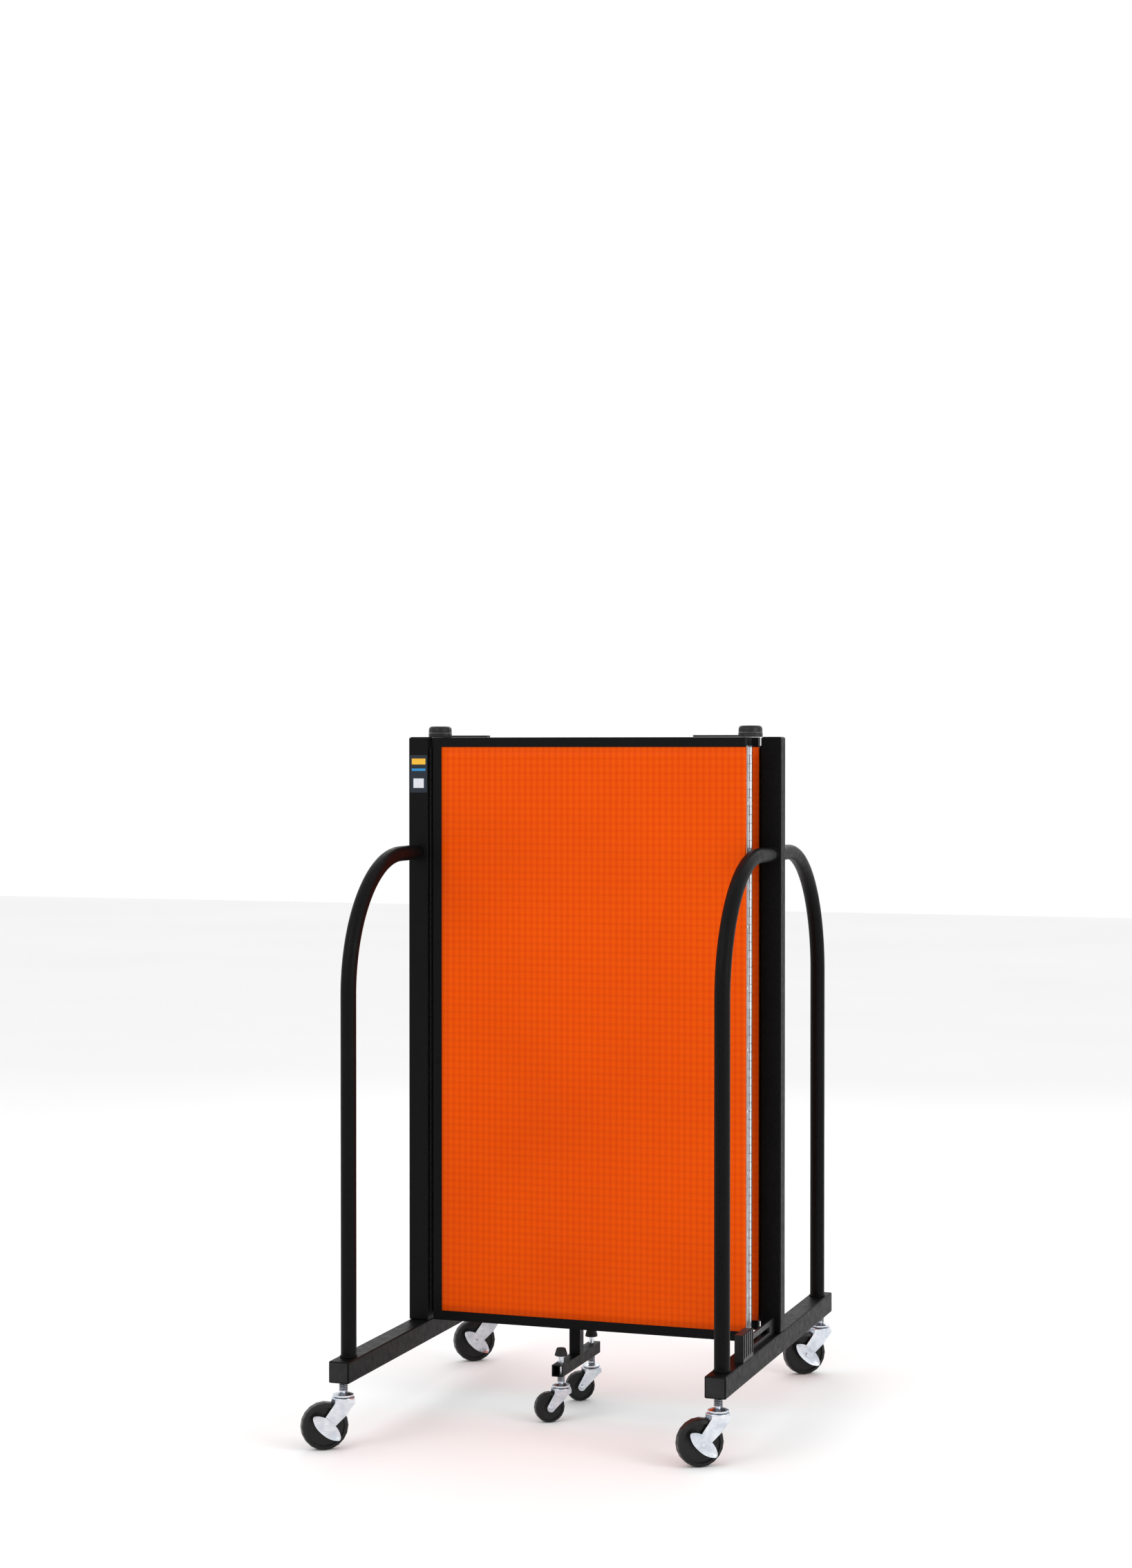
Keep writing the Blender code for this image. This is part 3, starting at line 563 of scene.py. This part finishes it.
def weld_beads(side_name):
    """Beads where each brace meets the foot and the post."""
    foot_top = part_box(f"{side_name}_foot")[1][2]
    post_low, post_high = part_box(f"{side_name}_post")
    shape = bmesh.new()
    for end, sign in (("front", -1), ("rear", 1)):
        low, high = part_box(f"{side_name}_{end}_bow")
        x = (low[0] + high[0]) / 2
        leg = (low[1] if sign < 0 else high[1]) - sign * BOW_RADIUS
        bead(shape, (x, leg, foot_top), (0, 0, 1), 0.0021)
        face = post_low[1] if sign < 0 else post_high[1]
        bead(shape, (x, face, high[2] - BOW_RADIUS), (0, sign, 0), 0.0023)
    new_piece(f"{side_name}_weld_beads", shape, BLACK, f"{side_name}_frame")


for side_name in ("left", "right"):
    foot_plugs(side_name)
    post_plug(side_name)
    weld_beads(side_name)


def label_piece(name, inset, heights, depths, paint):
    """One layer of the plain label on the left post's front face."""
    low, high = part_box("left_post")
    left, right, face = low[0] + 0.0030, high[0] - 0.0010, low[1]
    shape = bmesh.new()
    block(shape, (left + inset, face - depths[0], heights[0]), (right - inset, face - depths[1], heights[1]))
    new_piece(name, shape, paint, "left_frame", smooth=False)


BAND_DEPTHS = (0.0008, 0.0004)
label_piece("plain_label", 0.0, (LABEL_LOW, LABEL_HIGH), (0.0005, 0.0001), LABEL)
label_piece("label_band_upper", 0.003, (1.094, 1.104), BAND_DEPTHS, BAND_YELLOW)
label_piece("label_band_middle", 0.003, (1.083, 1.087), BAND_DEPTHS, BAND_BLUE)
label_piece("label_band_lower", 0.006, (1.054, 1.070), BAND_DEPTHS, BAND_PALE)


# ---------------------------------------------------------------- casters: forks, brake levers and springs
def cheek_outline(wheel, trail, race):
    """One cheek in the caster's X and Z, from the crown plate down to a round boss at the axle."""
    crown, reach, boss = 2 * wheel + 0.003, race * 0.88, wheel * 0.27
    outline = [(-reach, crown + 0.0012), (reach, crown + 0.0012), (reach, crown - 0.004)]
    for k in range(11):
        angle = math.radians(35 - 190 * k / 10)
        outline.append((trail + boss * math.cos(angle), wheel + boss * math.sin(angle)))
    return outline + [(-reach * 0.15, crown - wheel * 0.62), (-reach * 0.60, crown - wheel * 0.34),
                      (-reach, crown - 0.005)]


def fork_piece(name, spec, matrix):
    """A pressed fork: a round crown plate, two cheeks and the axle with a nut on each end."""
    wheel, trail, race, axle = spec["wheel"], spec["trail"], spec["race"], spec["axle"]
    crown = 2 * wheel + 0.003
    top = crown + spec["plate"]
    half = spec["width"] / 2 + FORK_CLEARANCE
    shape = bmesh.new()
    plate = [(0, crown), (race * 0.90, crown), (race, crown + 0.0006), (race, top - 0.0008),
             (race * 0.96, top), (race * 0.86, top + 0.0004), (race * 0.84, top + 0.0013), (0, top + 0.0013)]
    revolve(shape, plate, (0, 0, 0), (0, 0, 1), 40)
    outline = cheek_outline(wheel, trail, race)
    for side in (-1, 1):
        near = [shape.verts.new((x, side * half, z)) for x, z in outline]
        away = [shape.verts.new((x, side * (half + FORK_WALL), z)) for x, z in outline]
        shape.faces.new(near)
        shape.faces.new(away)
        bridge(shape, near, away)
    nut = [(axle * 1.35, 0), (axle * 1.35, 0.0007), (axle * 1.05, 0.0008), (axle * 1.0, 0.0021),
           (axle * 0.8, 0.0025), (0, 0.0025)]
    for side in (-1, 1):
        revolve(shape, nut, (trail, side * (half + FORK_WALL), wheel), (0, side, 0), 24)
    bar = [(0, -half), (axle * 0.98, -half), (axle * 0.98, half), (0, half)]
    revolve(shape, bar, (trail, 0, wheel), (0, 1, 0), 20)
    bmesh.ops.recalc_face_normals(shape, faces=shape.faces)
    piece = new_piece(f"{name}_fork_detail", shape, ZINC, f"{name}_fork", matrix)
    soften(piece, 0.0007, 2)
    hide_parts(f"{name}_fork")


def lever_piece(name, spec, face, matrix):
    """A dished petal plate with curled tips and a raised middle."""
    length, rows, columns = spec["wheel"] * 0.76, 28, 8
    shape = bmesh.new()
    grid = []
    for j in range(rows + 1):
        z = length * (2 * j / rows - 1)
        along = abs(z) / length
        width = 0.0103 * (1 - along ** 2.4) ** 0.8 + 0.0016
        line = []
        for k in range(columns + 1):
            across = 2 * k / columns - 1
            curl = 0.0030 * along ** 3 * (1 if across * z < 0 else 0.55)
            ridge = 0.0007 * math.exp(-(across / 0.35) ** 2) * (1 - along)
            rise = 0.0007 + curl + 0.0009 * across * across + ridge
            line.append(shape.verts.new((across * width, face + rise, z)))
        grid.append(line)
    for lower, upper in zip(grid, grid[1:]):
        for k in range(columns):
            shape.faces.new((lower[k], upper[k], upper[k + 1], lower[k + 1]))
    bmesh.ops.recalc_face_normals(shape, faces=shape.faces)
    piece = new_piece(f"{name}_brake_detail", shape, ZINC, f"{name}_brake", matrix)
    thick = piece.modifiers.new("thickness", "SOLIDIFY")
    thick.thickness = 0.0012
    soften(piece, 0.0004, 2)
    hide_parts(f"{name}_brake")


def lever_bolt(name, face, matrix):
    """The hex bolt that the lever turns on, and its washer."""
    shape = bmesh.new()
    washer = [(0, 0.0), (0.0072, 0.0), (0.0072, 0.0016), (0.0064, 0.0022), (0, 0.0022)]
    hexagon = [(0, 0.0022), (0.0052, 0.0022), (0.0052, 0.0041), (0.0044, 0.0047), (0, 0.0047)]
    revolve(shape, washer, (0, face, 0), (0, 1, 0), 24)
    revolve(shape, hexagon, (0, face, 0), (0, 1, 0), 6)
    bolt = new_piece(f"{name}_brake_bolt", shape, ZINC, f"{name}_brake", matrix, smooth=False)
    soften(bolt, 0.0003, 2)


def spring_piece(name, body):
    """A coil between the upper race and its seat."""
    low, high = (Vector(corner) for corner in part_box(f"{name}_spring"))
    centre, height = (low + high) / 2, high[2] - low[2]
    coil = (high[0] - low[0]) / 2 - SPRING_RADIUS
    up = Vector((0, 0, 1))
    steps = SPRING_TURNS * 24
    shape = bmesh.new()
    rings = []
    for k in range(steps + 1):
        angle = 2 * math.pi * SPRING_TURNS * k / steps
        rise = low[2] + SPRING_RADIUS + (height - 2 * SPRING_RADIUS) * k / steps
        out = Vector((math.cos(angle), math.sin(angle), 0))
        hub = Vector((centre[0], centre[1], rise)) + out * coil
        rings.append(ring(shape, hub, out, up, SPRING_RADIUS, 8))
    swept_rings(shape, rings)
    piece = new_piece(f"{name}_spring_detail", shape, SPRING_WIRE, body)
    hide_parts(f"{name}_spring")
    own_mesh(piece)


def caster(name, body, spec):
    """The detailed pieces of one caster, placed about its stem's axis at floor height."""
    low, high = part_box(f"{name}_spring")
    swivel = turned_frame(Vector(((low[0] + high[0]) / 2, (low[1] + high[1]) / 2, 0.0)), TRAIL_TURN)
    fork_piece(name, spec, swivel)
    spring_piece(name, body)
    if spec is not END:
        return
    tilt = Matrix.Rotation(math.radians(BRAKE_TILT), 4, "Y")
    lever_frame = swivel @ Matrix.Translation((spec["trail"], 0, spec["wheel"])) @ tilt
    face = spec["width"] / 2 + FORK_CLEARANCE + FORK_WALL + LEVER_CLEARANCE
    lever_piece(name, spec, face, lever_frame)
    lever_bolt(name, face, lever_frame)


CASTERS = (("left", "left_frame", END), ("right", "right_frame", END), ("centre", "panel_2", CENTRE))
for place_name, body_name, caster_spec in CASTERS:
    for end in ("front", "rear"):
        caster(f"{place_name}_{end}_caster", body_name, caster_spec)


# ---------------------------------------------------------------- camera, floor and light
def lamp(name, place, aim, energy, size):
    data = bpy.data.lights.new(name, "AREA")
    data.energy = energy
    data.shape = "RECTANGLE"
    data.size, data.size_y = size
    made = bpy.data.objects.new(name, data)
    made.location = place
    made.rotation_euler = (Vector(aim) - Vector(place)).to_track_quat("-Z", "Y").to_euler()
    bpy.context.scene.collection.objects.link(made)


def add_camera():
    data = bpy.data.cameras.new("view")
    data.sensor_fit = "VERTICAL"
    data.sensor_height = 36.0
    data.lens = 62.86
    camera = bpy.data.objects.new("view", data)
    camera.location = (1.4781, -4.3936, 1.1194)
    camera.rotation_euler = (math.radians(90 - 0.72), 0, math.radians(18.928))
    bpy.context.scene.collection.objects.link(camera)
    bpy.context.scene.camera = camera


def add_floor(half=14):
    shape = bmesh.new()
    for x, y in ((-half, -half), (half, -half), (half, half), (-half, half)):
        shape.verts.new((x, y, 0))
    shape.faces.new(shape.verts)
    mesh = bpy.data.meshes.new("floor")
    shape.to_mesh(mesh)
    shape.free()
    floor = bpy.data.objects.new("floor", mesh)
    bpy.context.scene.collection.objects.link(floor)
    ground = Paint("pale_floor", 0.85, Specular_IOR_Level=0.1)
    ground.colour(ground.ramp(ground.noise(1.5, 2.0), [(0.3, (0.90, 0.90, 0.90)), (0.7, (0.92, 0.92, 0.92))]))
    mesh.materials.append(ground.material)


def add_world():
    world = bpy.data.worlds.new("studio")
    world.use_nodes = True
    background = world.node_tree.nodes["Background"]
    background.inputs["Color"].default_value = (1.0, 1.0, 1.0, 1.0)
    background.inputs["Strength"].default_value = 1.0
    bpy.context.scene.world = world
    bpy.context.scene.view_settings.view_transform = "Standard"


add_camera()
add_floor()
add_world()
lamp("key", (-1.6, -3.2, 3.0), (0, 0, 0.6), 40, (2.4, 2.4))
lamp("side", (3.4, -1.0, 1.8), (0, 0, 0.6), 34, (1.2, 2.4))
lamp("back", (-0.5, 3.0, 2.6), (0, 0, 0.6), 25, (3.0, 1.6))
